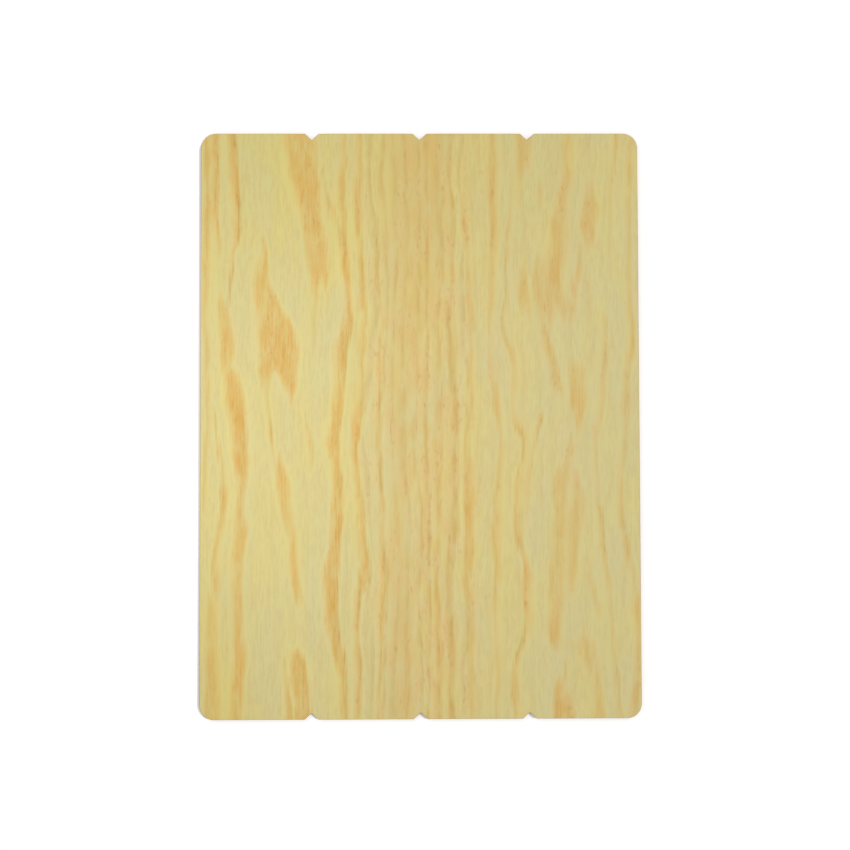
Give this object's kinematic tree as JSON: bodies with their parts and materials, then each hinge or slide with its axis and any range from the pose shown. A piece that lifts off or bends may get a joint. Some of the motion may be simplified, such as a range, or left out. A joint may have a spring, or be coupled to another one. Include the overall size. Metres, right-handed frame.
{
  "type": "notched mdf panel",
  "caption": "Flat rectangular MDF panel with a pine-grain face, rounded corners and small V notches in both short ends, a decorative board or blank to mount, print or finish.",
  "frame": {"origin": "centre of the underside, on the floor that the panel lies on", "axes": "+Z out of the grained show face, +Y along the grain and the long side, +X across the panel"},
  "size_m": [0.3, 0.4, 0.006],
  "materials": {
    "panel": "satin, pale pine grain"
  },
  "bodies": {
    "root": {"panel": "panel"}
  },
  "joints": []
}
